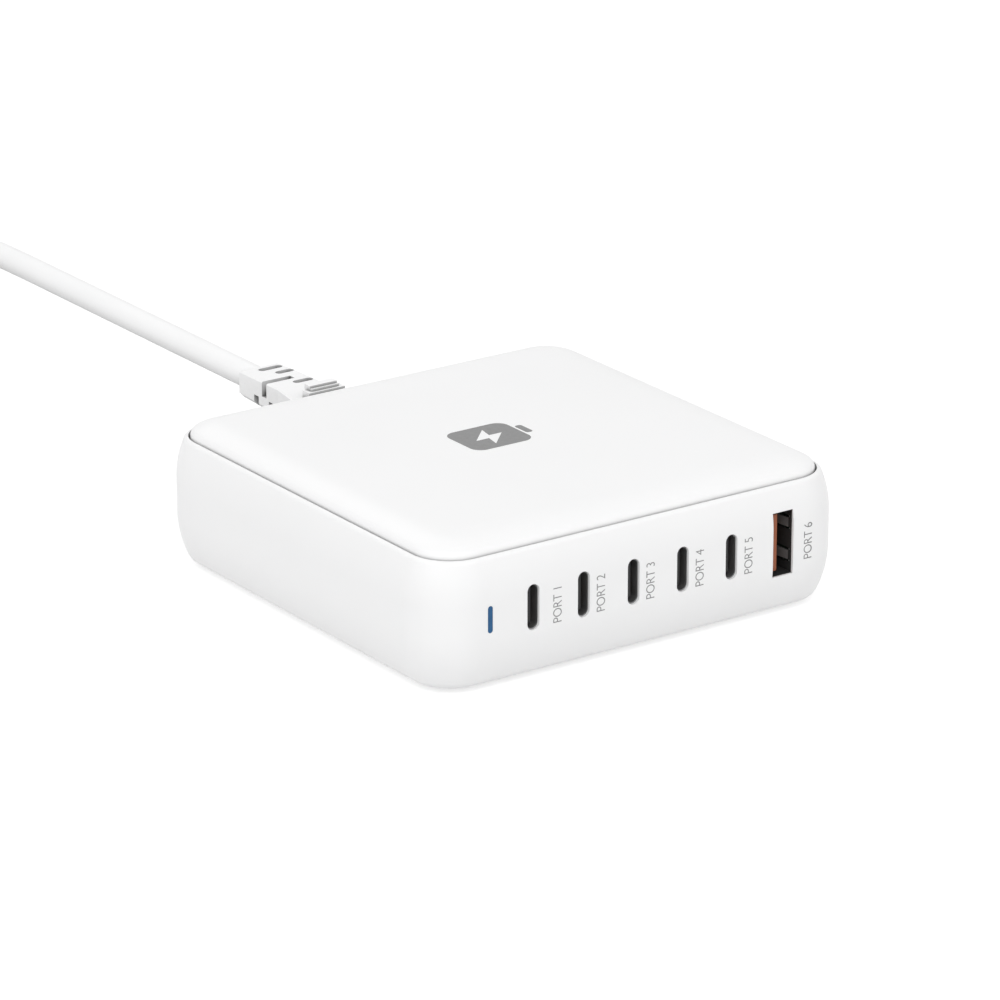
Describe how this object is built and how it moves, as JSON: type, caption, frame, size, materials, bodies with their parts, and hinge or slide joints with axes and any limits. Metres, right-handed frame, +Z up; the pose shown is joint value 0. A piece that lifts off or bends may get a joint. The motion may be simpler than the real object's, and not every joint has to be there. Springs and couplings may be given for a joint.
{
  "type": "multi port usb desktop charger",
  "caption": "Square white desktop charger with upright charging ports and a light bar in its front wall, a lid let into its rim, rubber feet and a mains cord plugged in behind.",
  "frame": {"origin": "on the table under the middle of the case, in the plane of the feet's undersides", "axes": "+Z up, the ports face -Y, the mains cord leaves the rear wall towards +Y"},
  "size_m": [0.094, 0.4187, 0.0284],
  "materials": {
    "case_plastic": "fine matt white moulded plastic",
    "foot_rubber": "matt grey rubber",
    "shell_steel": "drawn nickel-plated steel",
    "tongue_black": "moulded black insert",
    "tongue_orange": "moulded orange insert",
    "contact_gold": "gold-plated contacts",
    "light_bar": "clear tinted light pipe",
    "light_emitter": "small lamp on the board",
    "circuit_board": "solder-resist coated board",
    "inductor_grey": "pressed powder block",
    "capacitor_sleeve": "shrunk plastic sleeve",
    "ferrite": "sintered ferrite",
    "winding": "taped copper winding",
    "sink_aluminium": "bent sheet",
    "thermal_pad": "soft silicone pad",
    "part_black": "moulded black body",
    "film_yellow": "moulded yellow box",
    "cord_plastic": "soft white moulded plastic",
    "tie_strap": "soft white strap",
    "blade_metal": "plated blades"
  },
  "bodies": {
    "root": {"housing": "case_plastic", "top_cover": "case_plastic", "foot_1": "foot_rubber", "foot_2": "foot_rubber", "foot_3": "foot_rubber", "foot_4": "foot_rubber", "usb_c_shell_1": "shell_steel", "usb_c_shell_2": "shell_steel", "usb_c_shell_3": "shell_steel", "usb_c_shell_4": "shell_steel", "usb_c_shell_5": "shell_steel", "usb_a_shell": "shell_steel", "board_screws": "shell_steel", "usb_c_tongue_1": "tongue_black", "usb_c_tongue_2": "tongue_black", "usb_c_tongue_3": "tongue_black", "usb_c_tongue_4": "tongue_black", "usb_c_tongue_5": "tongue_black", "usb_a_tongue": "tongue_orange", "usb_c_contacts": "contact_gold", "usb_a_contacts": "contact_gold", "inlet_pins": "contact_gold", "connector_contacts": "contact_gold", "status_light_pipe": "light_bar", "status_led": "light_emitter", "main_board": "circuit_board", "port_board_1": "circuit_board", "port_board_2": "circuit_board", "port_board_3": "circuit_board", "port_board_4": "circuit_board", "port_board_5": "circuit_board", "port_board_6": "circuit_board", "buck_inductors": "inductor_grey", "output_capacitors": "capacitor_sleeve", "bulk_capacitor_1": "capacitor_sleeve", "bulk_capacitor_2": "capacitor_sleeve", "transformer_core": "ferrite", "pfc_core": "ferrite", "choke_core": "ferrite", "transformer_winding": "winding", "pfc_winding": "winding", "choke_windings": "winding", "secondary_heat_sink": "sink_aluminium", "primary_heat_sink": "sink_aluminium", "upper_heat_spreader": "sink_aluminium", "lower_heat_spreader": "sink_aluminium", "upper_thermal_pads": "thermal_pad", "lower_thermal_pad": "thermal_pad", "fuse": "part_black", "bridge_rectifier": "part_black", "ac_inlet": "part_black", "x_capacitor": "film_yellow", "cord_connector": "cord_plastic", "power_cord": "cord_plastic", "cord_coil": "cord_plastic", "cord_tail": "cord_plastic", "mains_plug": "cord_plastic", "coil_tie": "tie_strap", "plug_blades": "blade_metal"}
  },
  "joints": []
}
